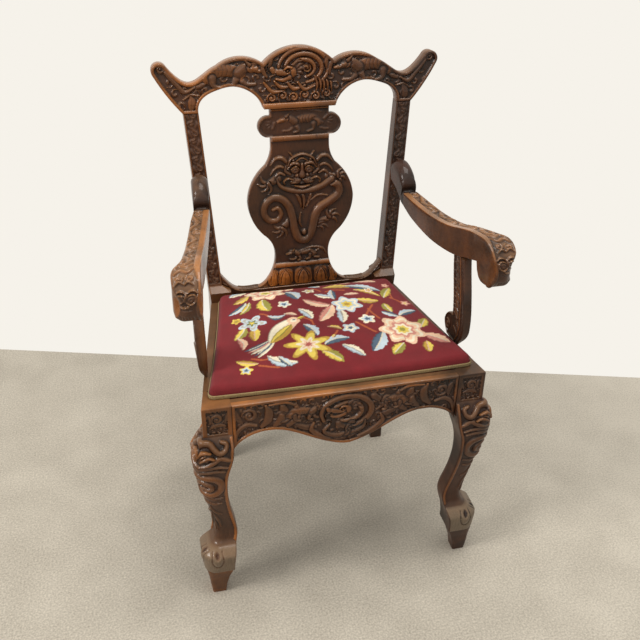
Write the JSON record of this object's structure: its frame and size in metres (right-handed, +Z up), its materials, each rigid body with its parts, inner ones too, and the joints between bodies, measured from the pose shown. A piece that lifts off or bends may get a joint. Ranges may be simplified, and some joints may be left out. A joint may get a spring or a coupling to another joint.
{
  "type": "carved wooden armchair",
  "caption": "Carved dark hardwood armchair with a shaped splat, horned crest rail, scrolled arms, cabriole front legs and a lift-out floral needlepoint seat.",
  "frame": {"origin": "on the floor, under the middle of the chair's bounding box", "axes": "+Z up, +Y to the back of the chair, +X to the right of someone who faces the chair"},
  "size_m": [0.594, 0.4616, 0.972],
  "materials": {
    "carved_hardwood": "satin wax over dark stain",
    "plain_hardwood": "unfinished",
    "screw_steel": "dull",
    "tack_steel": "blued",
    "jute_webbing": "woven",
    "horsehair": "matted",
    "needlepoint_wool": "stitched wool",
    "gimp_braid": "woven"
  },
  "bodies": {
    "chair_frame": {"right_front_leg": "carved_hardwood", "left_front_leg": "carved_hardwood", "front_seat_rail": "carved_hardwood", "right_seat_rail": "carved_hardwood", "left_seat_rail": "carved_hardwood", "back_seat_rail": "carved_hardwood", "right_rear_post": "carved_hardwood", "left_rear_post": "carved_hardwood", "crest_rail": "carved_hardwood", "splat": "carved_hardwood", "lower_back_rail": "carved_hardwood", "right_arm": "carved_hardwood", "left_arm": "carved_hardwood", "right_arm_support": "carved_hardwood", "left_arm_support": "carved_hardwood", "right_front_glue_block": "plain_hardwood", "left_front_glue_block": "plain_hardwood", "right_back_glue_block": "plain_hardwood", "left_back_glue_block": "plain_hardwood", "glue_block_screws": "screw_steel", "arm_screws": "screw_steel"},
    "drop_in_seat": {"seat_frame_front": "plain_hardwood", "seat_frame_back": "plain_hardwood", "right_seat_frame_side": "plain_hardwood", "left_seat_frame_side": "plain_hardwood", "seat_webbing": "jute_webbing", "seat_stuffing": "horsehair", "needlepoint_cover": "needlepoint_wool", "cover_braid": "gimp_braid", "cover_tacks": "tack_steel"}
  },
  "joints": [
    {"name": "seat_lift", "type": "slide", "parent": "chair_frame", "child": "drop_in_seat", "axis": [0, 0, 1], "range_m": [0, 0.12]}
  ]
}
